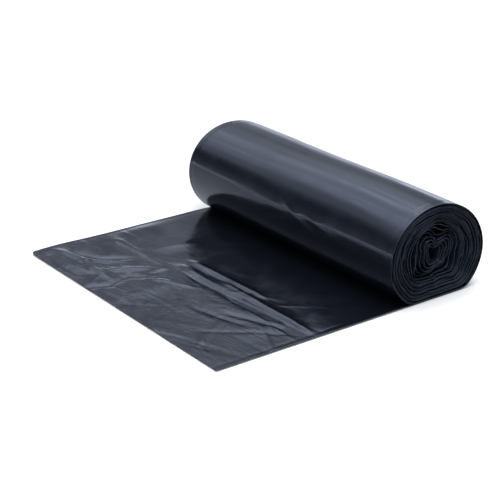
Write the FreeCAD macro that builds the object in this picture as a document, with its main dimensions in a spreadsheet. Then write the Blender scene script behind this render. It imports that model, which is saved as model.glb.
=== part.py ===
import FreeCAD, Part
import math
import os
from FreeCAD import Vector

# Bin bag roll: one long web of flattened, folded film bags, wound on itself with no core.
# X runs along the roll, Y across it and Z up. The origin is on the floor under the roll,
# half way along it. The web's loose end, the tail, lies on the floor toward -Y.

doc = FreeCAD.newDocument("BinBagRoll")

# Driving dimensions, in millimetres, degrees and plain counts.
SIZES = [
    ("web_width", 235.0, "width of the folded web, and so the length of the roll"),
    ("web_thick", 1.9, "thickness of a turn, which stands for several of the real film's"),
    ("tail_thick", 1.2, "thickness of the single folded web in the tail"),
    ("half_width", 43.4, "half the long axis of the roll's oval"),
    ("half_height", 37.9, "half the short axis of the roll's oval"),
    ("lean", 12.0, "how far the long axis leans down toward the back"),
    ("sag", 7.1, "how far the soft roll has flattened where it rests"),
    ("corner_round", 3.5, "rounding where the flat spot meets the oval"),
    ("layer_gap", 0.3, "air between the tight outer turns"),
    ("loose_gap", 1.7, "air between the slack inner turns"),
    ("packed_turns", 6.0, "number of tight outer turns"),
    ("eye_radius", 7.0, "half height of the hollow left in the middle"),
    ("dish_depth", 5.0, "how far the innermost turns have drawn in from the ends"),
    ("wander", 0.8, "how far tight turns sit out of line at the ends"),
    ("tail_reach", 183.6, "from the roll's axis to the free edge of the tail"),
    ("tail_start", 15.0, "from the roll's axis to where the flat web becomes the tail"),
    ("tail_lift", 0.4, "how far the springy tail stands off the floor"),
    ("ridge_height", 4.6, "height of the long ridge across the tail"),
    ("crease_height", 2.2, "height of the short creases near the free edge"),
    ("corner_nip", 4.0, "how far the far corner of the free edge is rubbed round"),
]

sheet = doc.addObject("Spreadsheet::Sheet", "Dimensions")
for row, (alias, value, meaning) in enumerate(SIZES, start=1):
    sheet.set(f"A{row}", meaning)
    sheet.set(f"B{row}", str(value))
    sheet.setAlias(f"B{row}", alias)
doc.recompute()


def size(alias):
    """The value of one driving dimension."""
    return float(getattr(sheet, alias))


web_width = size("web_width")
web_thick = size("web_thick")
tail_thick = size("tail_thick")
tail_reach = size("tail_reach")
tail_start = size("tail_start")
axis_height = size("half_height") - size("sag")
tight_pitch = web_thick + size("layer_gap")
slack_pitch = web_thick + size("loose_gap")

# The bottom of each turn is level for this share of a turn to each side of straight down.
LEVEL_SHARE = 0.075
# The floor cuts the oval level only where it faces down by at least this cosine.
FACING_DOWN = 0.05

# The slack turns have buckled: angle from straight down toward the back, spread and depth.
BUCKLES = [
    (166.0, 20.0, 0.22),
    (270.0, 50.0, 0.44),
    (215.0, 30.0, 0.05),
    (75.0, 40.0, 0.10),
]
# A turn starts to buckle at this share of the outer turn's size and is fully buckled at that.
BUCKLE_FROM = 0.60
BUCKLE_FULL = 0.47

# Each turn is drawn as arcs, and as lines where it bows by less than this.
ARCS_PER_TURN = 20
STRAIGHT = 0.002
# The level first pass of the web ends after this many arcs.
FIRST_ARC = 1
# How far the drift of the turns' ends moves on from one turn to the next, in radians.
DRIFT_STEP = 2.4

# Folds across the tail. Each crest runs between two points, given by their share of half the
# web's width and their distance from the free edge, with its height and its spread toward
# the free edge and toward the roll.
FOLDS = [
    (-0.20, 84.0, 0.90, 78.0, "ridge_height", 32.0, 5.0),
    (-0.80, 63.0, -0.30, 66.0, "crease_height", 12.0, 4.0),
    (-0.88, 21.0, -0.48, 22.0, "crease_height", 8.0, 6.0),
    (-0.50, 34.0, -0.36, 46.0, "crease_height", 7.0, 7.0),
    (0.36, 46.0, 0.70, 60.0, "crease_height", 8.0, 6.0),
]
# A fold dies away over this far past its ends, and all of them over this far at the roll.
FOLD_TAPER = 14.0
TAIL_EASE = 25.0
# The tail is drawn through this many sections, each with this many runs, which crowd
# together half way along it, where the ridge is, by this share of the tail's length.
STATIONS = 11
TAIL_STEPS = 28
CROWDING = 0.06


def ease(share):
    """A smooth step from 0 to 1."""
    share = min(max(share, 0.0), 1.0)
    return share * share * (3.0 - 2.0 * share)


def outer_radius(angle):
    """Radius of the leaning oval, cut level at the floor with a rounded corner."""
    lean = math.radians(size("lean"))
    across, down = math.sin(angle), math.cos(angle)
    long_part = (across * math.cos(lean) + down * math.sin(lean)) / size("half_width")
    short_part = (across * math.sin(lean) - down * math.cos(lean)) / size("half_height")
    oval = 1.0 / math.hypot(long_part, short_part)
    if down <= FACING_DOWN:
        return oval
    level = axis_height / down
    corner = size("corner_round")
    overlap = max(corner - abs(oval - level), 0.0) / corner
    return min(oval, level) - overlap * overlap * corner / 4.0


def wound_depth(turns):
    """Depth of the web's middle below the floor face, after so many turns inward."""
    whole = math.floor(turns)
    part = (turns - whole - LEVEL_SHARE) / (1.0 - 2.0 * LEVEL_SHARE)
    climb = whole + min(max(part, 0.0), 1.0)
    slack = max(climb - size("packed_turns"), 0.0)
    slack_extra = slack * slack / 2.0 if slack < 1.0 else slack - 0.5
    return web_thick / 2.0 + climb * tight_pitch + slack_extra * (slack_pitch - tight_pitch)


def buckle(level, angle):
    """Share of its radius that a slack turn keeps where it has buckled inward."""
    strength = ease((BUCKLE_FROM - level) / (BUCKLE_FROM - BUCKLE_FULL))
    kept = 1.0
    for place, spread, deep in BUCKLES:
        offset = (math.degrees(angle) - place + 180.0) % 360.0 - 180.0
        kept -= deep * strength * math.exp(-((offset / spread) ** 2))
    return kept


def web_middle(turns):
    """A point on the middle of the wound web's thickness, seen along the roll's axis."""
    angle = 2.0 * math.pi * turns
    level = 1.0 - wound_depth(turns) / axis_height
    radius = level * outer_radius(angle) * buckle(level, angle)
    return Vector(radius * math.sin(angle), axis_height - radius * math.cos(angle), 0)


def web_side(turns, side):
    """A point on the outer (side -1) or inner (side +1) face of the wound web."""
    step = 0.002
    along = web_middle(turns + step) - web_middle(turns - step)
    along.normalize()
    inward = Vector(-along.y, along.x, 0)
    return web_middle(turns) + inward * (side * web_thick / 2.0)


def add_arc(sketch, stop, next_stop, side):
    """Adds one arc of a turn's outer or inner face, or a line where the web is level."""
    start, end = web_side(stop, side), web_side(next_stop, side)
    middle = web_side((stop + next_stop) / 2.0, side)
    if middle.distanceToLine(start, end - start) < STRAIGHT:
        sketch.addGeometry(Part.LineSegment(start, end))
    else:
        sketch.addGeometry(Part.Arc(start, middle, end))


def add_runs(sketch, points):
    """Adds the straight runs between a row of points."""
    for start, end in zip(points, points[1:]):
        sketch.addGeometry(Part.LineSegment(start, end))


def count_arcs():
    """Arcs of web from the floor to the hollow in the middle."""
    steps = 1
    while axis_height - wound_depth(steps / ARCS_PER_TURN) > size("eye_radius"):
        steps += 1
    return steps


def origin_plane(body, role):
    """One of the body's own origin planes."""
    for feature in body.Origin.OriginFeatures:
        if feature.Role == role:
            return feature


def cross_section(name, body):
    """An empty sketch square to the roll's axis: across is Y and up is Z."""
    sketch = body.newObject("Sketcher::SketchObject", name)
    sketch.AttachmentSupport = [(origin_plane(body, "YZ_Plane"), "")]
    sketch.MapMode = "FlatFace"
    return sketch


def tail_rows():
    """Distances from the roll's axis at which the tail's sections turn."""
    rows = []
    for index in range(TAIL_STEPS + 1):
        share = index / TAIL_STEPS
        share += CROWDING * math.sin(2.0 * math.pi * share)
        rows.append(-tail_reach + (tail_reach - tail_start) * share)
    return rows


def tail_underside(x, y):
    """Height of the tail's underside above the floor."""
    clear = ease((-tail_start - y) / TAIL_EASE)
    height = size("tail_lift")
    for start_share, start_edge, end_share, end_edge, rise, front, back in FOLDS:
        start = Vector(start_share * web_width / 2.0, start_edge - tail_reach, 0)
        line = Vector(end_share * web_width / 2.0, end_edge - tail_reach, 0) - start
        reach = Vector(x, y, 0) - start
        along = reach.dot(line) / line.Length
        aside = (line.x * reach.y - line.y * reach.x) / line.Length
        past = max(-along, along - line.Length, 0.0)
        spread = front if aside < 0 else back
        height += size(rise) * math.exp(-((past / FOLD_TAPER) ** 2) - (aside / spread) ** 2)
    return clear * height


roll = doc.addObject("PartDesign::Body", "BinBagRoll")
roll.Label = "bin_bag_roll"

# The level first pass of the web, from the tail to a little past the middle. Its underside
# is the flat spot that the roll rests on.
first_pass = cross_section("FirstPassSection", roll)
first_corners = [
    Vector(-tail_start, 0, 0),
    web_side(FIRST_ARC / ARCS_PER_TURN, -1),
    web_side(FIRST_ARC / ARCS_PER_TURN, 1),
    Vector(-tail_start, web_thick, 0),
]
add_runs(first_pass, first_corners + first_corners[:1])
first_pad = roll.newObject("PartDesign::Pad", "FirstPass")
first_pad.Profile = first_pass
first_pad.SideType = "Symmetric"
first_pad.setExpression("Length", "Dimensions.web_width")
doc.recompute()

# The wound web, one turn at a time. Each turn sits a little out of line with the last at
# both ends, and the slack inner ones have crumpled and drawn in.
total_arcs = count_arcs()
turn_count = math.ceil(total_arcs / ARCS_PER_TURN)
for turn in range(turn_count):
    first_arc = max(turn * ARCS_PER_TURN, FIRST_ARC)
    end_arc = min((turn + 1) * ARCS_PER_TURN, total_arcs)
    section = cross_section(f"Turn{turn + 1}Section", roll)
    for side in (-1, 1):
        for arc in range(first_arc, end_arc):
            add_arc(section, arc / ARCS_PER_TURN, (arc + 1) / ARCS_PER_TURN, side)
    for arc in (first_arc, end_arc):
        stop = arc / ARCS_PER_TURN
        section.addGeometry(Part.LineSegment(web_side(stop, -1), web_side(stop, 1)))
    drawn_in = round(ease((turn - 1) / (turn_count - 1)), 3)
    near_drift = round(math.sin(DRIFT_STEP * turn) ** 2, 3)
    far_drift = round(2 * near_drift * (1 - near_drift), 3)
    pad = roll.newObject("PartDesign::Pad", f"Turn{turn + 1}")
    pad.Profile = section
    pad.SideType = "Two sides"
    half = f"Dimensions.web_width / 2 - Dimensions.dish_depth * {drawn_in}"
    pad.setExpression("Length", f"{half} - Dimensions.wander * {near_drift}")
    pad.setExpression("Length2", f"{half} - Dimensions.wander * {far_drift}")
    doc.recompute()

# The tail: lofted along the roll's length through sections that follow its folds.
tail_sections = []
for station in range(STATIONS):
    share = 2.0 * station / (STATIONS - 1) - 1.0
    section = cross_section(f"TailSection{station + 1}", roll)
    section.setExpression("AttachmentOffset.Base.z", f"Dimensions.web_width / 2 * {share}")
    x = web_width / 2.0 * share
    under = [Vector(y, tail_underside(x, y), 0) for y in tail_rows()]
    over = [point + Vector(0, tail_thick, 0) for point in reversed(under)]
    add_runs(section, under + over + under[:1])
    tail_sections.append(section)
doc.recompute()
tail = roll.newObject("PartDesign::AdditiveLoft", "Tail")
tail.Profile = tail_sections[0]
tail.Sections = tail_sections[1:]
tail.Ruled = True
doc.recompute()


def at_far_corner(edge):
    """Whether an edge is the upright one at the far corner of the free edge."""
    corner = Vector(-web_width / 2.0, -tail_reach, 0)
    return all(
        math.hypot(vertex.X - corner.x, vertex.Y - corner.y) < web_thick / 10.0
        for vertex in edge.Vertexes
    )


corner_edges = [
    f"Edge{index}" for index, edge in enumerate(roll.Shape.Edges, start=1) if at_far_corner(edge)
]
rubbed_corner = roll.newObject("PartDesign::Fillet", "RubbedCorner")
rubbed_corner.Base = (tail, corner_edges)
rubbed_corner.setExpression("Radius", "Dimensions.corner_nip")
doc.recompute()

for part in doc.Objects:
    if "Invalid" in part.State or "Error" in part.State:
        raise RuntimeError(f"{part.Label} did not build: {part.State}")
if roll.Shape.isNull() or not roll.Shape.isValid() or len(roll.Shape.Solids) != 1:
    raise RuntimeError("the roll is not one valid solid")

box = roll.Shape.optimalBoundingBox(False)
print("turns", total_arcs / ARCS_PER_TURN, "volume", round(roll.Shape.Volume), "faces", len(roll.Shape.Faces))
print("box", [round(value, 2) for value in (box.XMin, box.XMax, box.YMin, box.YMax, box.ZMin, box.ZMax)])

os.makedirs("parts", exist_ok=True)
roll.Shape.exportStep(f"parts/{roll.Label}.step")
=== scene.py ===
# %% [markdown]
# # A roll of bin bags
#
# A bin bag roll is one long strip of black film. Each bag is flattened, folded in four and
# joined to the next by a line of perforations, and the strip is wound on itself with no
# core. This lesson builds it in three pieces: the outer turn with its loose tail, the turns
# inside, and the torn perforations on the free edge. The solid model is loaded first,
# because every size below is read from it or has to agree with it.

# %% Load the solid model
import math
import random

import bmesh
import bpy
import numpy as np
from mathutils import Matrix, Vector


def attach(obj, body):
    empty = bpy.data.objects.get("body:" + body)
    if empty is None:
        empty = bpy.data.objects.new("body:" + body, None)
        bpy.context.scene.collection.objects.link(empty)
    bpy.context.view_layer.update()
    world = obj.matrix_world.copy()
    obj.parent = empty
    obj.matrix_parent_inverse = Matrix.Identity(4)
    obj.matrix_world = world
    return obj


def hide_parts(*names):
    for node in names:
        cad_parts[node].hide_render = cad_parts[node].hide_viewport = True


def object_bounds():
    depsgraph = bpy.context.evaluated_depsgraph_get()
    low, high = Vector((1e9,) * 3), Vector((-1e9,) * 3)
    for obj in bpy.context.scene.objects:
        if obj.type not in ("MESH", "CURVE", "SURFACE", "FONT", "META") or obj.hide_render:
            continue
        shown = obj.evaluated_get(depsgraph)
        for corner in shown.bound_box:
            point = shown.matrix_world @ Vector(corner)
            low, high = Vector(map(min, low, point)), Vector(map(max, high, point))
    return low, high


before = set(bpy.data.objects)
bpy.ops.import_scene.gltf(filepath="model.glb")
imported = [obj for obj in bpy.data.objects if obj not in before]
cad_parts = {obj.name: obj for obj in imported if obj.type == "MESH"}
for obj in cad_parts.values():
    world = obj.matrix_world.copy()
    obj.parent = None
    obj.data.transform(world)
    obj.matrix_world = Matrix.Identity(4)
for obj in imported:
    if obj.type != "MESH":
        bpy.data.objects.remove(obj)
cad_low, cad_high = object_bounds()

MM = 0.001
roll_length = cad_high.x - cad_low.x
tail_reach = -cad_low.y
print("roll length", round(roll_length, 4), "tail reach", round(tail_reach, 4))

# %% [markdown]
# ## The section of the roll
#
# A soft roll is never a circle. This one is an oval that leans back a little and is flat
# where it rests. Its turns keep the same outline as they go inward, until the slack ones in
# the middle buckle, and every few turns a little air has stayed in. One rule can say all of
# that: the radius depends on the angle, times a level that falls as the film winds in. The
# same rule then places every turn.

# %% Sizes of the section
half_width = 43.4 * MM
half_height = 37.9 * MM
sag = 7.1 * MM
lean = math.radians(12.0)
corner_round = 3.5 * MM
axis_height = half_height - sag
film_thick = 0.55 * MM
tight_pitch = 0.62 * MM
slack_pitch = 2.0 * MM
tight_turns = 18.0
ring_turns = 6.0
ring_gap = 0.7 * MM
eye_radius = 4.0 * MM
level_share = 0.075
# Where the slack turns have buckled: angle from straight down, spread and depth.
BUCKLES = [
    (160.0, 24.0, 0.40), (258.0, 36.0, 0.24), (212.0, 22.0, -0.10), (120.0, 20.0, -0.06),
    (72.0, 26.0, 0.20), (14.0, 22.0, 0.12), (318.0, 24.0, -0.06),
]
# Levels at which the buckling starts and is at its full depth.
buckle_from = 0.66
buckle_full = 0.40
# Film that runs down at less than this cosine is clear of the floor.
least_down = 0.05

# %% The rule for a wound turn


def ease(share):
    """A smooth step from 0 to 1."""
    share = np.clip(share, 0.0, 1.0)
    return share * share * (3.0 - 2.0 * share)


def outer_radius(angle):
    """Radius of the leaning oval, cut level at the floor. Angles run from straight down."""
    across, down = np.sin(angle), np.cos(angle)
    long_part = (across * math.cos(lean) + down * math.sin(lean)) / half_width
    short_part = (across * math.sin(lean) - down * math.cos(lean)) / half_height
    oval = 1.0 / np.hypot(long_part, short_part)
    level = axis_height / np.maximum(down, least_down)
    overlap = np.maximum(corner_round - np.abs(oval - level), 0.0) / corner_round
    cut = np.minimum(oval, level) - overlap * overlap * corner_round / 4.0
    return np.where(down > least_down, cut, oval)


def wound_depth(turns):
    """How far in the film lies, measured at the floor. Each turn is level along the bottom."""
    whole = np.floor(turns)
    part = (turns - whole - level_share) / (1.0 - 2.0 * level_share)
    climb = whole + np.clip(part, 0.0, 1.0)
    slack = np.maximum(climb - tight_turns, 0.0)
    extra = np.where(slack < 1.0, slack * slack / 2.0, slack - 0.5)
    rings = np.minimum(climb, tight_turns) / ring_turns
    gaps = np.floor(rings) + ease(1.0 - (1.0 - rings % 1.0) * ring_turns)
    depth = film_thick / 2.0 + climb * tight_pitch + extra * (slack_pitch - tight_pitch)
    return depth + gaps * ring_gap


def buckle(level, angle):
    """Share of its radius that a slack turn keeps where it has buckled inward."""
    strength = ease((buckle_from - level) / (buckle_from - buckle_full))
    kept = np.ones_like(angle)
    for place, spread, deep in BUCKLES:
        offset = (np.degrees(angle) - place + 180.0) % 360.0 - 180.0
        kept = kept - deep * strength * np.exp(-((offset / spread) ** 2))
    return kept


def film_middle(turns):
    """Points (y, z) on the middle of the wound film, one for each number of turns."""
    angle = 2.0 * np.pi * turns
    level = 1.0 - wound_depth(turns) / axis_height
    radius = level * outer_radius(angle) * buckle(level, angle)
    return np.stack([radius * np.sin(angle), axis_height - radius * np.cos(angle)], axis=1)


probe = film_middle(np.linspace(0.0, 1.0, 361))
print("outer turn", (probe.max(0) - probe.min(0)).round(4))

# %% [markdown]
# ## The outer turn and the tail
#
# What the eye reads first is the sheet outside: a tail lying nearly flat, then one smooth
# turn. It is one continuous surface, so it is one grid. Its columns run along the roll and
# its rows follow the film from the free edge, under the roll and round it once. Film keeps
# every fold it ever had. A fold is a crest whose height dies away at its ends, so each fold
# below is the points that it runs through, a height and a spread to either side.

# %% Folds across the tail
# Each fold: points (x, y) along its crest, its height, then its spread toward the free edge
# and its spread toward the roll, all in millimetres. A negative height is a valley.
TAIL_FOLDS = [
    # The long rise with its ridges and pleats, which run together toward the near edge.
    ([(-24.0, -121.0), (40.0, -119.0), (86.0, -114.0)], 1.7, 22.0, 9.0),
    ([(-24.0, -99.0), (8.0, -97.5), (40.0, -96.0)], 1.5, 3.5, 4.0),
    ([(22.0, -103.5), (60.0, -104.8), (101.0, -105.0)], 1.9, 3.2, 4.0),
    ([(0.0, -101.0), (36.0, -101.8)], -0.5, 2.2, 1.4),
    ([(-22.0, -110.5), (20.0, -109.5), (46.0, -108.0)], 1.0, 2.2, 3.8),
    ([(-22.0, -117.5), (30.0, -114.0), (54.0, -111.0)], -1.1, 4.4, 1.6),
    ([(46.0, -111.0), (78.0, -109.0), (100.0, -107.0)], -1.3, 6.0, 1.4),
    ([(60.5, -129.5), (84.0, -120.2), (103.0, -111.5)], -0.8, 3.0, 2.0),
    ([(42.3, -141.3), (58.1, -137.9), (72.2, -133.5)], -0.7, 3.0, 2.0),
    ([(95.6, -128.2), (101.3, -121.6)], -0.4, 1.2, 2.0),
    ([(68.6, -91.5), (77.3, -81.0), (87.2, -69.6)], 0.2, 1.2, 1.6),
    # The straight crease that goes on to the far side, and the rise behind it.
    ([(-93.0, -122.5), (-52.0, -120.2), (-16.0, -118.0)], 0.8, 2.2, 12.0),
    ([(-104.0, -90.0), (-66.0, -89.0)], 1.5, 26.0, 22.0),
    # The far corner stands a little off the floor.
    ([(-125.0, -160.0), (-10.0, -158.0)], 1.0, 30.0, 26.0),
    # Curved wrinkles round the far corner.
    ([(-98.0, -165.4), (-77.3, -161.4), (-61.9, -164.2), (-50.1, -163.9)], 1.7, 2.0, 4.0),
    ([(-89.6, -156.4), (-74.7, -149.0), (-67.6, -138.1)], -1.4, 2.2, 3.0),
    ([(-72.5, -156.0), (-65.8, -146.9)], 1.1, 1.6, 2.5),
    ([(-98.6, -176.9), (-80.8, -180.0), (-64.2, -177.6)], -1.4, 3.0, 2.4),
    ([(-92.0, -170.0), (-76.0, -172.0), (-66.0, -170.0)], 0.9, 1.8, 2.4),
    ([(-35.6, -180.0), (-30.5, -168.5), (-37.1, -148.5), (-25.5, -140.2)], -1.1, 3.4, 2.6),
    ([(-50.3, -150.8), (-43.2, -137.1)], 1.2, 3.0, 3.0),
    ([(-18.4, -139.2), (2.5, -128.7)], 0.7, 1.4, 3.0),
    ([(27.2, -147.4), (50.8, -145.5)], 0.4, 3.0, 3.0),
    # A double crease near the free edge and one glint on the edge itself.
    ([(68.8, -175.1), (85.9, -170.0), (102.1, -164.2)], -0.6, 1.3, 1.5),
    ([(74.2, -179.0), (85.8, -174.4), (96.7, -169.5)], -0.5, 1.3, 1.5),
    ([(47.9, -182.0), (60.4, -176.9)], 0.6, 1.5, 3.0),
    ([(68.8, -158.0), (85.7, -138.0)], -0.4, 1.6, 2.0),
    ([(94.2, -129.3), (109.7, -136.4)], 0.5, 1.5, 2.0),
]
# Folds round the front of the roll: points give x and the distance along the film.
ROLL_FOLDS = [
    (
        [(-72.0, 187.0), (-43.0, 182.0), (-12.0, 179.6), (60.0, 178.6), (118.0, 177.8)],
        0.26, 3.6, 3.0,
    ),
    ([(8.0, 178.0), (20.0, 184.0), (30.0, 187.5)], 0.34, 2.4, 2.4),
    ([(32.0, 179.0), (46.0, 182.5), (60.0, 185.0)], 0.22, 2.4, 2.4),
    ([(-84.0, 169.0), (-39.5, 168.0), (20.0, 167.0), (70.0, 166.0)], -0.10, 8.0, 8.0),
    ([(-30.0, 150.0), (15.0, 153.0), (61.0, 156.0), (100.0, 160.0)], 0.20, 9.0, 9.0),
]
# A fold dies away over this many millimetres past its ends. Its crest is a little rounded,
# and its sides fall away at this power and rate.
fold_taper = 9.0
crest_round = 0.2
crest_power = 1.3
crest_rate = 1.2


def fold_height(x, y, folds):
    """Sum of the folds' heights at points given in millimetres."""
    height = np.zeros_like(x)
    for points, rise, front, back in folds:
        nearest = np.full_like(x, np.inf)
        shape = np.zeros_like(x)
        for (x0, y0), (x1, y1) in zip(points, points[1:]):
            length = math.hypot(x1 - x0, y1 - y0)
            along = ((x - x0) * (x1 - x0) + (y - y0) * (y1 - y0)) / length
            aside = ((x1 - x0) * (y - y0) - (y1 - y0) * (x - x0)) / length
            past = np.maximum(np.maximum(-along, along - length), 0.0)
            away = np.hypot(aside, past)
            spread = np.where(aside < 0.0, front, back)
            crest = np.sqrt((aside / spread) ** 2 + crest_round ** 2) - crest_round
            fall = np.exp(-(crest ** crest_power) * crest_rate)
            bump = np.exp(-((past / fold_taper) ** 2)) * fall
            shape = np.where(away < nearest, bump, shape)
            nearest = np.minimum(nearest, away)
        height += rise * shape
    return height


# %% Small creases left by handling
# Degrees that they swing from the roll's direction, and millimetres that they spread.
crease_swing = 28.0
crease_front = (1.3, 4.0)
crease_back = 1.4
crease_random = random.Random(11)


def random_folds(count, x_range, y_range, length_range, rise_range):
    """Short straight creases, most of them running nearly along the roll."""
    folds = []
    for _ in range(count):
        x = crease_random.uniform(*x_range)
        y = crease_random.uniform(*y_range)
        turn = math.radians(crease_random.gauss(0.0, crease_swing))
        reach = crease_random.uniform(*length_range)
        end = (x + reach * math.cos(turn), y + reach * math.sin(turn))
        rise = crease_random.uniform(*rise_range)
        folds.append(([(x, y), end], rise, crease_random.uniform(*crease_front), crease_back))
    return folds


TAIL_CREASES = random_folds(64, (-112, 95), (-180, -105), (8, 34), (-0.30, 0.40))
FLAT_CREASES = random_folds(18, (-112, 95), (-92, -45), (12, 50), (0.02, 0.08))
ROLL_CREASES = random_folds(26, (-112, 80), (205, 290), (18, 60), (0.02, 0.09))
print("small creases", len(TAIL_CREASES) + len(FLAT_CREASES) + len(ROLL_CREASES))

# %% Rows that follow the film
# Rows are close together where the folds are sharp. Each pair: up to there, this far apart,
# both in millimetres along the film.
TAIL_STEPS = [(-126.0, 1.25), (-92.0, 0.8), (-10.0, 1.9)]
TURN_STEPS = [(150.0, 2.5), (172.0, 1.6), (192.0, 0.9), (300.0, 2.2)]
# The outer sheet starts a little before the lowest point and ends a little under itself.
roll_start = -0.05
overlap_turns = 0.12
roll_end = 1.0 + overlap_turns
turn_length = 250.0 * MM


def spaced(start, end, steps):
    """Places from start to just before end, as far apart as the steps say."""
    places = []
    for limit, gap in steps:
        limit = min(limit * MM, end)
        count = max(round((limit - start) / (gap * MM)), 1)
        places.append(np.linspace(start, limit, count, endpoint=False))
        start = limit
    return np.concatenate(places)


def film_rows():
    """Middle points, directions and distance from the roll's axis, row by row."""
    start_y = film_middle(np.array([roll_start]))[0, 0]
    tail_y = spaced(-tail_reach, start_y, TAIL_STEPS)
    free_rim = -tail_reach + film_thick * np.array([0.1, 0.25, 0.5, 0.9])
    tail_y = np.concatenate([tail_y[:1], free_rim, tail_y[1:]])
    tail = np.stack([tail_y, np.full_like(tail_y, film_thick / 2.0)], axis=1)
    fine = film_middle(np.linspace(roll_start, roll_end, 4001))
    gone = np.concatenate([[0.0], np.cumsum(np.linalg.norm(np.diff(fine, axis=0), axis=1))])
    stops = np.append(spaced(0.0, gone[-1], TURN_STEPS), gone[-1])
    turn = np.stack([np.interp(stops, gone, fine[:, axis]) for axis in (0, 1)], axis=1)
    middle = np.concatenate([tail, turn])
    along = np.gradient(middle, axis=0)
    along /= np.linalg.norm(along, axis=1)[:, None]
    return middle, along, np.concatenate([tail_y, stops + start_y])


row_middle, row_along, row_distance = film_rows()
film_length = tail_reach + row_distance[-1]
print("rows", len(row_middle), "film length", round(float(film_length), 3))

# %% Columns along the roll
ply_step_in = 5.5 * MM
edge_round = film_thick / 2.0
inner_columns = 71


def film_columns():
    """Places along the roll, close together at the folded edges and at the ply step."""
    half = roll_length / 2.0
    edge = [half - edge_round * (1.0 - math.cos(math.radians(a))) for a in (90, 60, 30, 0)]
    step = [half - ply_step_in + away * MM for away in (-0.8, 0.0, 0.8)]
    inner = np.linspace(0.0, half - ply_step_in - 2.0 * MM, inner_columns)
    outer = [half - away * MM for away in (3.6, 2.5, 1.5)]
    right = sorted([*inner, *step, *outer, *edge])
    return np.array([-x for x in reversed(right[1:])] + right)


column_x = film_columns()
print("columns", len(column_x))

# %% [markdown]
# The sheet has two faces. Where they meet along the roll's ends they close in a half round,
# because the edge of a folded bag is a soft loop and not a cut. Five millimetres in from
# each end the plies inside stop, so the face that shows drops there by a hair. That is the
# top face on the tail and the other face on the roll, because the film winds up and over.

# %% How the film's faces stand off its path
ply_drop = 0.12 * MM
ply_drop_width = 1.6 * MM
# The far corner of the free edge is drawn in by this much, over this length.
corner_nip = 4.0 * MM
corner_nip_length = 10.0 * MM
# The tail lies this far off the floor, and its near edge stands up a little more.
tail_lift = 0.5 * MM
near_rim = 0.3 * MM
near_rim_in = 3.4 * MM
near_rim_width = 1.8 * MM
# No valley goes deeper than this, in millimetres, so that the film stays above the floor.
lowest_fold = -0.2
# The tail turns into the roll here, measured along the film from under the axis.
tail_end = -16.0 * MM
tail_fade = 22.0 * MM
# Hands have creased the film from here toward the free edge.
handled_from = -70.0 * MM
handled_fade = 60.0 * MM
# The roll's film is uneven between these places and smooth where it meets other film.
swell_start, swell_rise = 45.0, 20.0
swell_stop, swell_fall = 22.0, 25.0
wrap_length = row_distance[-1] - overlap_turns * turn_length
# Each: height, then wave length and start along the roll, then both along the film.
SWELLS = [
    (0.55, 46.0, 0.6, 17.0, 0.4), (0.30, 24.0, 2.1, 29.0, 1.7), (0.18, 71.0, 4.0, 11.0, 0.0),
]


def tail_share(distance):
    """1 on the tail and 0 on the roll."""
    return ease((tail_end - distance) / tail_fade)


def raised(x, distance):
    """How far the film stands up: off the floor on the tail, off its oval on the roll."""
    x_mm, d_mm = x / MM, distance / MM
    folds = fold_height(x_mm, d_mm, TAIL_FOLDS + TAIL_CREASES + FLAT_CREASES)
    folds = np.maximum(folds, lowest_fold)
    rim = near_rim * ease((x - roll_length / 2.0 + near_rim_in) / near_rim_width)
    on_tail = tail_share(distance) * (folds * MM + tail_lift + rim)
    wrapped = ease((d_mm - swell_start) / swell_rise)
    wrapped = wrapped * ease((wrap_length / MM - swell_stop - d_mm) / swell_fall)
    swell = fold_height(x_mm, d_mm, ROLL_FOLDS + ROLL_CREASES)
    for height, x_wave, x_start, d_wave, d_start in SWELLS:
        wave = np.sin(x_mm / x_wave + x_start) * np.sin(d_mm / d_wave + d_start)
        swell = swell + height * wave
    return on_tail, wrapped * swell * MM


def face_offset(x, distance, face):
    """Distance of one face of the film from its path, toward the roll's axis."""
    on_tail, on_roll = raised(x, distance)
    from_edge = roll_length / 2.0 - np.abs(x)
    rounding = 1.0 - np.clip(1.0 - from_edge / edge_round, 0.0, 1.0) ** 2
    free_rounding = np.clip((distance + tail_reach) / edge_round, 0.02, 1.0)
    half_thick = film_thick / 2.0 * np.sqrt(rounding) * np.sqrt(free_rounding)
    drop = ply_drop * ease((ply_step_in - from_edge) / ply_drop_width + 0.5)
    share = tail_share(distance)
    shown = share if face > 0.0 else 1.0 - share
    return on_tail - on_roll + face * (half_thick - drop * shown * rounding)


# %% Build the outer turn and tail


def grid_faces(rows, columns):
    """Four-cornered faces of a closed sheet: one grid, its twin, and the strips between."""
    index = np.arange(rows * columns).reshape(rows, columns)
    corners = [index[:-1, :-1], index[:-1, 1:], index[1:, 1:], index[1:, :-1]]
    top = np.stack(corners, axis=-1).reshape(-1, 4)
    rim = np.concatenate([index[0], index[1:, -1], index[-1, -2::-1], index[-2:0:-1, 0]])
    after = np.roll(rim, -1)
    under = rows * columns
    sides = np.stack([rim, rim + under, after + under, after], axis=-1)
    return np.concatenate([top, top[:, ::-1] + under, sides])


def film_point(x, distance, path, normal, face):
    """Corners of one face of the film."""
    offset = face_offset(x, distance, face)
    place = path + normal * offset[..., None]
    from_corner = np.clip((corner_nip - (x + roll_length / 2.0)) / corner_nip, 0.0, 1.0)
    nip = corner_nip * (1.0 - np.sqrt(1.0 - from_corner ** 2))
    from_free_edge = distance + tail_reach
    place[..., 0] += nip * ease((corner_nip_length - from_free_edge) / corner_nip_length)
    return np.concatenate([x[..., None], place], axis=-1).reshape(-1, 3)


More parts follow.
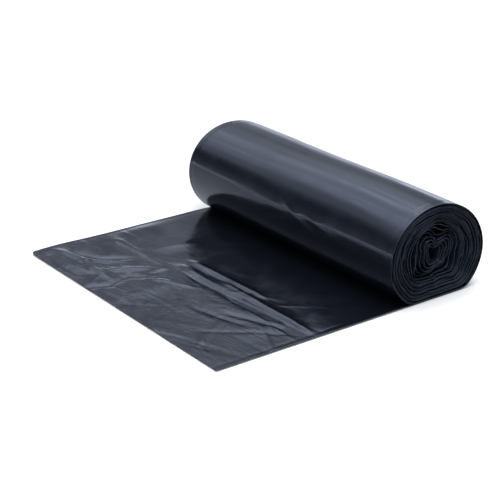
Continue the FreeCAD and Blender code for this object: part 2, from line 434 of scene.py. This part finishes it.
def build_outer():
    """One closed sheet, with a value on each corner that says how much it was handled."""
    x, distance = np.meshgrid(column_x, row_distance)
    path = np.repeat(row_middle[:, None, :], len(column_x), axis=1)
    inward = np.stack([-row_along[:, 1], row_along[:, 0]], axis=-1)
    normal = np.repeat(inward[:, None, :], len(column_x), axis=1)
    faces = grid_faces(*x.shape)
    points = [film_point(x, distance, path, normal, face) for face in (1.0, -1.0)]
    mesh = bpy.data.meshes.new("outer_turn_and_tail")
    mesh.from_pydata(np.concatenate(points).tolist(), [], faces.tolist())
    handled = tail_share(distance) * ease((handled_from - distance) / handled_fade)
    layer = mesh.attributes.new("handled", "FLOAT", "POINT")
    layer.data.foreach_set("value", np.tile(handled.ravel(), 2).astype(np.float32))
    piece = bpy.data.objects.new(mesh.name, mesh)
    bpy.context.scene.collection.objects.link(piece)
    return piece


def finish_mesh(piece):
    """Points every face outward, shades the mesh smooth and counts what is open."""
    work = bmesh.new()
    work.from_mesh(piece.data)
    bmesh.ops.recalc_face_normals(work, faces=work.faces)
    open_edges = sum(1 for edge in work.edges if not edge.is_manifold)
    work.to_mesh(piece.data)
    work.free()
    piece.data.shade_smooth()
    print(piece.name, "faces", len(piece.data.polygons), "open edges", open_edges)


outer = build_outer()
finish_mesh(outer)

# %% [markdown]
# ## Node trees
#
# The rest leans on Blender's node trees, for shapes and for finishes. A few helpers keep
# them readable: one adds a node and fills its sockets, one does a step of arithmetic, and
# one opens a tree with named inputs.

# %% Helpers for node trees


def fill(tree, socket, value):
    """Links a socket to another one, or sets its own value."""
    if isinstance(value, bpy.types.NodeSocket):
        tree.links.new(value, socket)
    else:
        socket.default_value = value


def add_node(tree, kind, sockets=None, **settings):
    """Adds a node, sets its properties and fills its sockets by name or number."""
    node = tree.nodes.new(kind)
    for name, value in settings.items():
        setattr(node, name, value)
    for key, value in (sockets or {}).items():
        fill(tree, node.inputs[key], value)
    return node


def calculate(tree, operation, *values):
    """One step of arithmetic."""
    node = add_node(tree, "ShaderNodeMath", dict(enumerate(values)), operation=operation)
    return node.outputs[0]


def smooth_step(tree, value, start, end, low=0.0, high=1.0):
    """A smooth change from low to high as the value goes from start to end."""
    sockets = {"Value": value, "From Min": start, "From Max": end, "To Min": low, "To Max": high}
    node = add_node(tree, "ShaderNodeMapRange", sockets, interpolation_type="SMOOTHSTEP")
    return node.outputs[0]


def open_tree(name, kind, inputs, outputs):
    """A new tree with named inputs and outputs, and its two end nodes."""
    tree = bpy.data.node_groups.new(name, kind)
    for label, socket_type in inputs:
        tree.interface.new_socket(label, in_out="INPUT", socket_type=socket_type)
    for label, socket_type in outputs:
        tree.interface.new_socket(label, in_out="OUTPUT", socket_type=socket_type)
    start = tree.nodes.new("NodeGroupInput")
    return tree, start.outputs, tree.nodes.new("NodeGroupOutput").inputs


GEOMETRY = "NodeSocketGeometry"
OBJECT = "NodeSocketObject"
MATERIAL = "NodeSocketMaterial"
FLOAT = "NodeSocketFloat"
VECTOR = "NodeSocketVector"

# %% Helpers for pieces made by Geometry Nodes


def line_object(name, points, closed=False):
    """A plain line of points, as an object for a tree to start from."""
    count = len(points)
    edges = [(i, i + 1) for i in range(count - 1)] + ([(count - 1, 0)] if closed else [])
    mesh = bpy.data.meshes.new(name)
    mesh.from_pydata([tuple(map(float, point)) for point in points], edges, [])
    line = bpy.data.objects.new(name, mesh)
    bpy.context.scene.collection.objects.link(line)
    return line


def apply_tree(line, tree, values):
    """Runs a tree on an object with these input values, and returns the plain result."""
    modifier = line.modifiers.new(tree.name, "NODES")
    modifier.node_group = tree
    for item in tree.interface.items_tree:
        if item.in_out == "INPUT" and item.name in values:
            modifier[item.identifier] = values[item.name]
    graph = bpy.context.evaluated_depsgraph_get()
    mesh = bpy.data.meshes.new_from_object(line.evaluated_get(graph))
    name = line.name
    bpy.data.objects.remove(line)
    mesh.name = name
    piece = bpy.data.objects.new(name, mesh)
    bpy.context.scene.collection.objects.link(piece)
    return piece


# %% [markdown]
# ## The finish of the film
#
# The film is black with a blue cast, and so glossy that what we see is mostly what it
# mirrors. Its detail is in the mirror's flaws: fine streaks along the roll from when the
# film was drawn, and a crackle of small creases where hands have been. Both are bumps, so
# one shader group makes them and each material sets their strength.

# %% Shader group for the film's flaws


def film_flaws_group():
    """Drawn streaks everywhere, and crackle where the film was handled."""
    inputs = [("Vector", VECTOR), ("Handled", FLOAT), ("Streak", FLOAT), ("Crackle", FLOAT)]
    tree, given, result = open_tree("film_flaws", "ShaderNodeTree", inputs, [("Normal", VECTOR)])
    stretched = add_node(
        tree, "ShaderNodeVectorMath", {0: given["Vector"], 1: (9.0, 230.0, 230.0)},
        operation="MULTIPLY",
    ).outputs[0]
    streaks = add_node(
        tree, "ShaderNodeTexNoise", {"Vector": stretched, "Scale": 1.0, "Detail": 2.0}
    )
    squeezed = add_node(
        tree, "ShaderNodeVectorMath", {0: given["Vector"], 1: (0.5, 1.0, 1.0)},
        operation="MULTIPLY",
    ).outputs[0]
    crackle = add_node(
        tree, "ShaderNodeTexNoise",
        {"Vector": squeezed, "Scale": 90.0, "Detail": 4.0, "Roughness": 0.55, "Distortion": 0.9},
    )
    folded = calculate(tree, "ABSOLUTE", calculate(tree, "SUBTRACT", crackle.outputs[0], 0.5))
    low = calculate(tree, "MULTIPLY", streaks.outputs[0], given["Streak"])
    high = calculate(tree, "MULTIPLY", folded, given["Crackle"])
    high = calculate(tree, "MULTIPLY", high, given["Handled"])
    height = calculate(tree, "ADD", low, high)
    bump = add_node(tree, "ShaderNodeBump", {"Height": height, "Distance": 1.0, "Strength": 1.0})
    fill(tree, result["Normal"], bump.outputs["Normal"])
    return tree


def film_gloss_group():
    """Roughness that drifts from place to place, as film scuffs unevenly."""
    inputs = [("Vector", VECTOR), ("Clean", FLOAT), ("Scuffed", FLOAT)]
    outputs = [("Roughness", FLOAT)]
    tree, given, result = open_tree("film_gloss", "ShaderNodeTree", inputs, outputs)
    patches = add_node(
        tree, "ShaderNodeTexNoise",
        {"Vector": given["Vector"], "Scale": 34.0, "Detail": 4.0, "Roughness": 0.65},
    )
    level = smooth_step(tree, patches.outputs[0], 0.35, 0.7, given["Clean"], given["Scuffed"])
    fill(tree, result["Roughness"], level)
    return tree


film_flaws = film_flaws_group()
film_gloss = film_gloss_group()

# %% Film materials
film_colour = (0.0035, 0.0045, 0.0075, 1.0)
edge_colour = (0.0065, 0.009, 0.0155, 1.0)
film_tint = (0.78, 0.85, 1.0, 1.0)
film_ior = 1.43


def film_material(name, colour, streak, crackle, clean, scuffed, handled):
    """Glossy black film. Handled is a number, or the name of an attribute."""
    material = bpy.data.materials.new(name)
    material.use_nodes = True
    tree = material.node_tree
    shader = tree.nodes["Principled BSDF"]
    place = add_node(tree, "ShaderNodeTexCoord").outputs["Object"]
    flaws = add_node(tree, "ShaderNodeGroup", node_tree=film_flaws)
    for key, value in {"Vector": place, "Streak": streak, "Crackle": crackle}.items():
        fill(tree, flaws.inputs[key], value)
    if isinstance(handled, str):
        handled = add_node(tree, "ShaderNodeAttribute", attribute_name=handled).outputs["Fac"]
    fill(tree, flaws.inputs["Handled"], handled)
    gloss = add_node(tree, "ShaderNodeGroup", node_tree=film_gloss)
    for key, value in {"Vector": place, "Clean": clean, "Scuffed": scuffed}.items():
        fill(tree, gloss.inputs[key], value)
    fill(tree, shader.inputs["Normal"], flaws.outputs["Normal"])
    fill(tree, shader.inputs["Roughness"], gloss.outputs["Roughness"])
    shader.inputs["Base Color"].default_value = colour
    shader.inputs["IOR"].default_value = film_ior
    shader.inputs["Specular Tint"].default_value = film_tint
    return material


film = film_material("film", film_colour, 0.02 * MM, 0.9 * MM, 0.13, 0.25, "handled")
film_edges = film_material("film_edges", edge_colour, 0.03 * MM, 0.20 * MM, 0.26, 0.40, 0.6)
outer.data.materials.append(film)
print("materials", film.name, film_edges.name)

# %% [markdown]
# ## The turns inside
#
# Inside lie some seventeen tight turns and seven slack ones. They repeat one rule, so
# Geometry Nodes make them: a path through the section, a long thin profile swept along it,
# and then small moves that make the ends look wound by a machine and squashed by hands.

# %% The path that the inner turns follow
points_per_turn = 150
start_gap = 0.01


def count_turns():
    """Turns until the film reaches the hollow in the middle."""
    stops = np.arange(1.0, 60.0, 0.01)
    return float(stops[np.argmax(axis_height - wound_depth(stops) < eye_radius)])


first_turn = roll_end + start_gap
last_turn = count_turns()
inner_stops = np.arange(first_turn, last_turn, 1.0 / points_per_turn)
inner_path = [(0.0, y, z) for y, z in film_middle(inner_stops)]
inner = line_object("inner_turns", inner_path)
turn_layer = inner.data.attributes.new("turn", "FLOAT", "POINT")
turn_layer.data.foreach_set("value", inner_stops.astype(np.float32))
print("turns", round(last_turn, 2), "path points", len(inner_path))

# %% The folded film's profile


def profile_points():
    """Outline of the folded film: close together at its two edges, sparse between."""
    half, r = roll_length / 2.0, film_thick / 2.0
    side = [(half - away * MM, r) for away in (45.0, 14.0, 4.0)]
    side += [(half - 0.4 * MM, r * 0.8), (half, 0.0)]
    side += [(x, -y) for x, y in reversed(side[:4])]
    return [(x, y, 0.0) for x, y in side] + [(-x, -y, 0.0) for x, y in side]


profile = line_object("film_profile", profile_points(), closed=True)
print("profile points", len(profile.data.vertices))

# %% The tree that winds the turns


def wound_turns_tree():
    """Sweeps the profile, then draws the ends in, steps them in rings and crumples them."""
    sizes = ["Half Length", "First Turn", "Last Turn", "Dish", "Groove", "Ring Turns", "Drift"]
    sizes += ["Crumple"]
    inputs = [("Path", GEOMETRY), ("Profile", OBJECT), ("Film", MATERIAL)]
    inputs += [(name, FLOAT) for name in sizes]
    outputs = [("Turns", GEOMETRY)]
    tree, given, result = open_tree("wound_turns", "GeometryNodeTree", inputs, outputs)
    path = add_node(tree, "GeometryNodeMeshToCurve", {"Mesh": given["Path"]}).outputs[0]
    shape = add_node(tree, "GeometryNodeObjectInfo", {"Object": given["Profile"]})
    rim = add_node(tree, "GeometryNodeMeshToCurve", {"Mesh": shape.outputs["Geometry"]}).outputs[0]
    swept = add_node(
        tree, "GeometryNodeCurveToMesh", {"Curve": path, "Profile Curve": rim, "Fill Caps": True}
    ).outputs[0]
    moved = add_node(tree, "GeometryNodeSetPosition", {"Geometry": swept})
    fill(tree, moved.inputs["Offset"], end_shift(tree, given))
    painted = add_node(
        tree, "GeometryNodeSetMaterial", {"Geometry": moved.outputs[0], "Material": given["Film"]}
    ).outputs[0]
    real = add_node(tree, "GeometryNodeRealizeInstances", {"Geometry": painted}).outputs[0]
    fill(tree, result["Turns"], real)
    return tree


def end_shift(tree, given):
    """How far each point moves: inward along the roll, and sideways where it is crumpled."""
    turn = add_node(tree, "GeometryNodeInputNamedAttribute", {"Name": "turn"}).outputs[0]
    place = add_node(tree, "GeometryNodeInputPosition").outputs[0]
    across = add_node(tree, "ShaderNodeSeparateXYZ", {"Vector": place}).outputs["X"]
    depth = smooth_step(tree, turn, given["First Turn"], given["Last Turn"])
    dish = calculate(tree, "MULTIPLY", depth, given["Dish"])
    drift = add_node(tree, "ShaderNodeTexNoise", {"Vector": place, "Scale": 30.0}).outputs[0]
    drifted = calculate(tree, "ADD", turn, calculate(tree, "MULTIPLY", drift, given["Drift"]))
    ring = calculate(tree, "FRACT", calculate(tree, "DIVIDE", drifted, given["Ring Turns"]))
    from_crest = calculate(tree, "ABSOLUTE", calculate(tree, "SUBTRACT", ring, 0.5))
    groove = smooth_step(tree, from_crest, 0.2, 0.5)
    step = calculate(tree, "MULTIPLY", groove, given["Groove"])
    noise = add_node(tree, "ShaderNodeTexNoise", {"Vector": place, "Scale": 70.0, "Detail": 3.0})
    centred = add_node(
        tree, "ShaderNodeVectorMath", {0: noise.outputs["Color"], 1: (0.5, 0.5, 0.5)},
        operation="SUBTRACT",
    ).outputs[0]
    outward = calculate(tree, "DIVIDE", across, given["Half Length"])
    near_end = smooth_step(tree, calculate(tree, "ABSOLUTE", outward), 0.75, 1.0)
    drawn = calculate(tree, "MULTIPLY", calculate(tree, "ADD", dish, step), outward)
    wrinkle = calculate(tree, "MULTIPLY", given["Crumple"], near_end)
    wrinkle = calculate(tree, "MULTIPLY", wrinkle, calculate(tree, "ADD", depth, 0.3))
    sideways = add_node(tree, "ShaderNodeVectorMath", {0: centred}, operation="SCALE")
    fill(tree, sideways.inputs["Scale"], wrinkle)
    back = calculate(tree, "MULTIPLY", drawn, -1.0)
    inward = add_node(tree, "ShaderNodeCombineXYZ", {"X": back})
    moves = {0: sideways.outputs[0], 1: inward.outputs[0]}
    total = add_node(tree, "ShaderNodeVectorMath", moves)
    return total.outputs[0]


# %% Wind the inner turns
turn_values = {
    "Profile": profile,
    "Film": film_edges,
    "Half Length": roll_length / 2.0,
    "First Turn": first_turn,
    "Last Turn": last_turn,
    "Dish": 5.0 * MM,
    "Groove": 3.0 * MM,
    "Ring Turns": ring_turns,
    "Drift": 7.0,
    "Crumple": 5.0 * MM,
}
inner = apply_tree(inner, wound_turns_tree(), turn_values)
bpy.data.objects.remove(profile)
finish_mesh(inner)
extent = np.array([vertex.co for vertex in inner.data.vertices])
print("inner turns from", extent.min(0).round(4), "to", extent.max(0).round(4))

# %% [markdown]
# ## Torn perforations
#
# The last bag was torn off along a line of perforations. Each uncut bridge leaves a small
# pulled tooth on the edge, uneven in size. They repeat along an edge, so Geometry Nodes
# place them.

# %% Teeth along the free edge
corner_end = -roll_length / 2.0 + corner_nip
edge_points = [(x, -tail_reach + 0.1 * MM) for x in column_x if x > corner_end]
edge_lift, _ = raised(
    np.array([x for x, _ in edge_points]), np.full(len(edge_points), -tail_reach)
)
edge_line = [(x, y, film_thick / 2.0 + up) for (x, y), up in zip(edge_points, edge_lift)]
teeth_line = line_object("torn_perforations", edge_line)


def torn_teeth_tree():
    """Small flat cones along a line, uneven in width and length."""
    inputs = [("Edge", GEOMETRY), ("Film", MATERIAL), ("Spacing", FLOAT), ("Length", FLOAT)]
    inputs += [("Width", FLOAT), ("Thickness", FLOAT)]
    outputs = [("Teeth", GEOMETRY)]
    tree, given, result = open_tree("torn_teeth", "GeometryNodeTree", inputs, outputs)
    edge = add_node(tree, "GeometryNodeMeshToCurve", {"Mesh": given["Edge"]}).outputs[0]
    spots = add_node(tree, "GeometryNodeCurveToPoints", {"Curve": edge}, mode="LENGTH")
    fill(tree, spots.inputs["Length"], given["Spacing"])
    tooth = add_node(
        tree, "GeometryNodeMeshCone",
        {"Vertices": 6, "Radius Top": 0.05, "Radius Bottom": 0.5, "Depth": 1.0},
    )
    size = add_node(
        tree, "ShaderNodeCombineXYZ",
        {"X": given["Width"], "Y": given["Thickness"], "Z": given["Length"]},
    ).outputs[0]
    uneven = add_node(
        tree, "FunctionNodeRandomValue", {0: (0.5, 1.0, 0.35), 1: (1.2, 1.0, 1.0), "Seed": 5},
        data_type="FLOAT_VECTOR",
    ).outputs[0]
    scale = add_node(tree, "ShaderNodeVectorMath", {0: size, 1: uneven}, operation="MULTIPLY")
    placed = add_node(
        tree, "GeometryNodeInstanceOnPoints",
        {
            "Points": spots.outputs[0], "Instance": tooth.outputs["Mesh"],
            "Rotation": (math.radians(90.0), 0.0, 0.0), "Scale": scale.outputs[0],
        },
    ).outputs[0]
    real = add_node(tree, "GeometryNodeRealizeInstances", {"Geometry": placed}).outputs[0]
    painted = add_node(
        tree, "GeometryNodeSetMaterial", {"Geometry": real, "Material": given["Film"]}
    ).outputs[0]
    fill(tree, result["Teeth"], painted)
    return tree


teeth_values = {
    "Film": film_edges,
    "Spacing": 1.9 * MM,
    "Length": 1.1 * MM,
    "Width": 0.9 * MM,
    "Thickness": 0.12 * MM,
}
teeth = apply_tree(teeth_line, torn_teeth_tree(), teeth_values)
finish_mesh(teeth)

# %% [markdown]
# ## Floor, light and camera
#
# Glossy black film shows its surroundings, so the light is a set of surroundings: a studio
# that is pale overhead, bright at the horizon and darker in between, and one soft lamp. The
# roll mirrors the dark part as a band along its front, and the horizon as the thin bright
# line below it. The floor is plain and pale, and the film mirrors it a little darker and
# bluish because glossy rays see a painted reflection colour on it.

# %% Floor
floor_size = 4.0
floor_drop = 0.3 * MM
floor_colour = (0.86, 0.87, 0.88, 1.0)
# Painted reflection: the darker, bluish colour that only glossy rays see on the floor.
painted_floor_reflection = (0.60, 0.63, 0.70, 1.0)


def build_floor():
    """A plain pale floor just under the film, with a darker bluish painted reflection colour for
    glossy rays.
    """
    mesh = bpy.data.meshes.new("floor")
    half = floor_size / 2.0
    corners = [(-half, -half), (half, -half), (half, half), (-half, half)]
    mesh.from_pydata([(x, y, -floor_drop) for x, y in corners], [], [(0, 1, 2, 3)])
    material = bpy.data.materials.new("floor")
    material.use_nodes = True
    tree = material.node_tree
    shader = tree.nodes["Principled BSDF"]
    # Glossy rays see the painted reflection colour instead of the floor's own colour.
    glossy = add_node(tree, "ShaderNodeLightPath").outputs["Is Glossy Ray"]
    seen = add_node(
        tree, "ShaderNodeMix", {"Factor": glossy, "A": floor_colour, "B": painted_floor_reflection},
        data_type="RGBA",
    )
    fill(tree, shader.inputs["Base Color"], seen.outputs[2])
    shader.inputs["Roughness"].default_value = 0.7
    mesh.materials.append(material)
    piece = bpy.data.objects.new("floor", mesh)
    bpy.context.scene.collection.objects.link(piece)
    return piece


floor = build_floor()

# %% The studio, as the film mirrors it
# Brightness by height: the sine of the elevation, and how bright the studio is there. The
# side in front of the roll holds dark things low down, and the side behind it is pale.
STUDIO_FRONT = [
    (-1.0, 0.45), (-0.04, 2.2), (0.03, 2.1), (0.06, 0.30), (0.14, 0.32), (0.24, 0.13),
    (0.38, 0.10), (0.46, 0.42), (0.51, 0.78), (0.58, 1.05), (0.65, 1.6), (0.71, 2.1), (1.0, 1.8),
]
STUDIO_BACK = [
    (-1.0, 0.45), (-0.02, 1.2), (0.08, 1.1), (0.17, 0.40), (0.35, 0.34), (0.45, 0.50),
    (0.53, 0.82), (0.59, 1.15), (0.65, 1.8), (0.71, 2.4), (1.0, 1.8),
]
brightest = 2.4
# The table's brightness at which the studio has a strength of 1.
even_brightness = 0.66
plain_light = (0.97, 0.98, 1.0, 1.0)
plain_strength = 0.8
mirrored_tint = (0.76, 0.83, 1.0)


def studio_ramp(tree, height, bands):
    """Brightness of one side of the studio, as a share of the brightest."""
    ramp = add_node(tree, "ShaderNodeValToRGB", {"Fac": height})
    stops = ramp.color_ramp.elements
    for sine, brightness in bands[1:-1]:
        stops.new((sine + 1.0) / 2.0)
    for stop, (sine, brightness) in zip(stops, bands):
        stop.color = (*[brightness / brightest] * 3, 1.0)
    return ramp.outputs["Color"]


def studio_brightness(tree):
    """Brightness of the studio for the direction that a ray leaves in."""
    aim = add_node(tree, "ShaderNodeTexCoord").outputs["Generated"]
    parts = add_node(tree, "ShaderNodeSeparateXYZ", {"Vector": aim})
    sockets = {"Value": parts.outputs["Z"], "From Min": -1.0, "From Max": 1.0}
    height = add_node(tree, "ShaderNodeMapRange", sockets).outputs[0]
    behind = smooth_step(tree, parts.outputs["Y"], -0.5, 0.3)
    front = studio_ramp(tree, height, STUDIO_FRONT)
    back = studio_ramp(tree, height, STUDIO_BACK)
    both = add_node(
        tree, "ShaderNodeMix", {"Factor": behind, "A": front, "B": back}, data_type="FLOAT"
    ).outputs[0]
    blotches = add_node(
        tree, "ShaderNodeTexNoise", {"Vector": aim, "Scale": 9.0, "Detail": 1.0}
    ).outputs[0]
    uneven = smooth_step(tree, blotches, 0.3, 0.7, 0.7, 1.3)
    return calculate(tree, "MULTIPLY", both, uneven)


def studio_world():
    """The studio that the film mirrors, and a plain pale light for all else."""
    world = bpy.data.worlds.new("studio")
    world.use_nodes = True
    tree = world.node_tree
    strength = calculate(tree, "MULTIPLY", studio_brightness(tree), brightest / even_brightness)
    mirrored = add_node(
        tree, "ShaderNodeBackground", {"Color": (*mirrored_tint, 1.0), "Strength": strength}
    )
    plain = add_node(
        tree, "ShaderNodeBackground", {"Color": plain_light, "Strength": plain_strength}
    )
    glossy = add_node(tree, "ShaderNodeLightPath").outputs["Is Glossy Ray"]
    mixed = add_node(
        tree, "ShaderNodeMixShader", {0: glossy, 1: plain.outputs[0], 2: mirrored.outputs[0]}
    )
    fill(tree, tree.nodes["World Output"].inputs["Surface"], mixed.outputs[0])
    return world


bpy.context.scene.world = studio_world()

# %% Lamp


def soft_lamp(name, place, target, size, power):
    """A square soft box aimed at a point."""
    light = bpy.data.lights.new(name, "AREA")
    light.size = size
    light.energy = power
    lamp = bpy.data.objects.new(name, light)
    lamp.location = place
    lamp.rotation_euler = (Vector(target) - Vector(place)).to_track_quat("-Z", "Y").to_euler()
    bpy.context.scene.collection.objects.link(lamp)
    return lamp


soft_lamp("overhead", (0.12, -0.1, 1.35), (0.0, -0.05, 0.0), 1.2, 20.0)
bpy.context.scene.view_settings.view_transform = "Standard"

# %% [markdown]
# The camera stands where the photograph was taken from, a metre away and looking down a
# little, and frames the roll alone.

# %% Camera
camera_place = Vector((0.75872, -0.63501, 0.40376))
camera_target = Vector((-0.01601, -0.05868, 0.00577))
camera_data = bpy.data.cameras.new("camera")
camera_data.sensor_width = 36.0
camera_data.lens = 103.4
camera = bpy.data.objects.new("camera", camera_data)
camera.location = camera_place
camera.rotation_euler = (camera_target - camera_place).to_track_quat("-Z", "Y").to_euler()
bpy.context.scene.collection.objects.link(camera)
bpy.context.scene.camera = camera
print("camera distance", round((camera_target - camera_place).length, 3))

# %% Say what each piece is
for piece in (outer, inner, teeth):
    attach(piece, "root")
    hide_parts("bin_bag_roll")
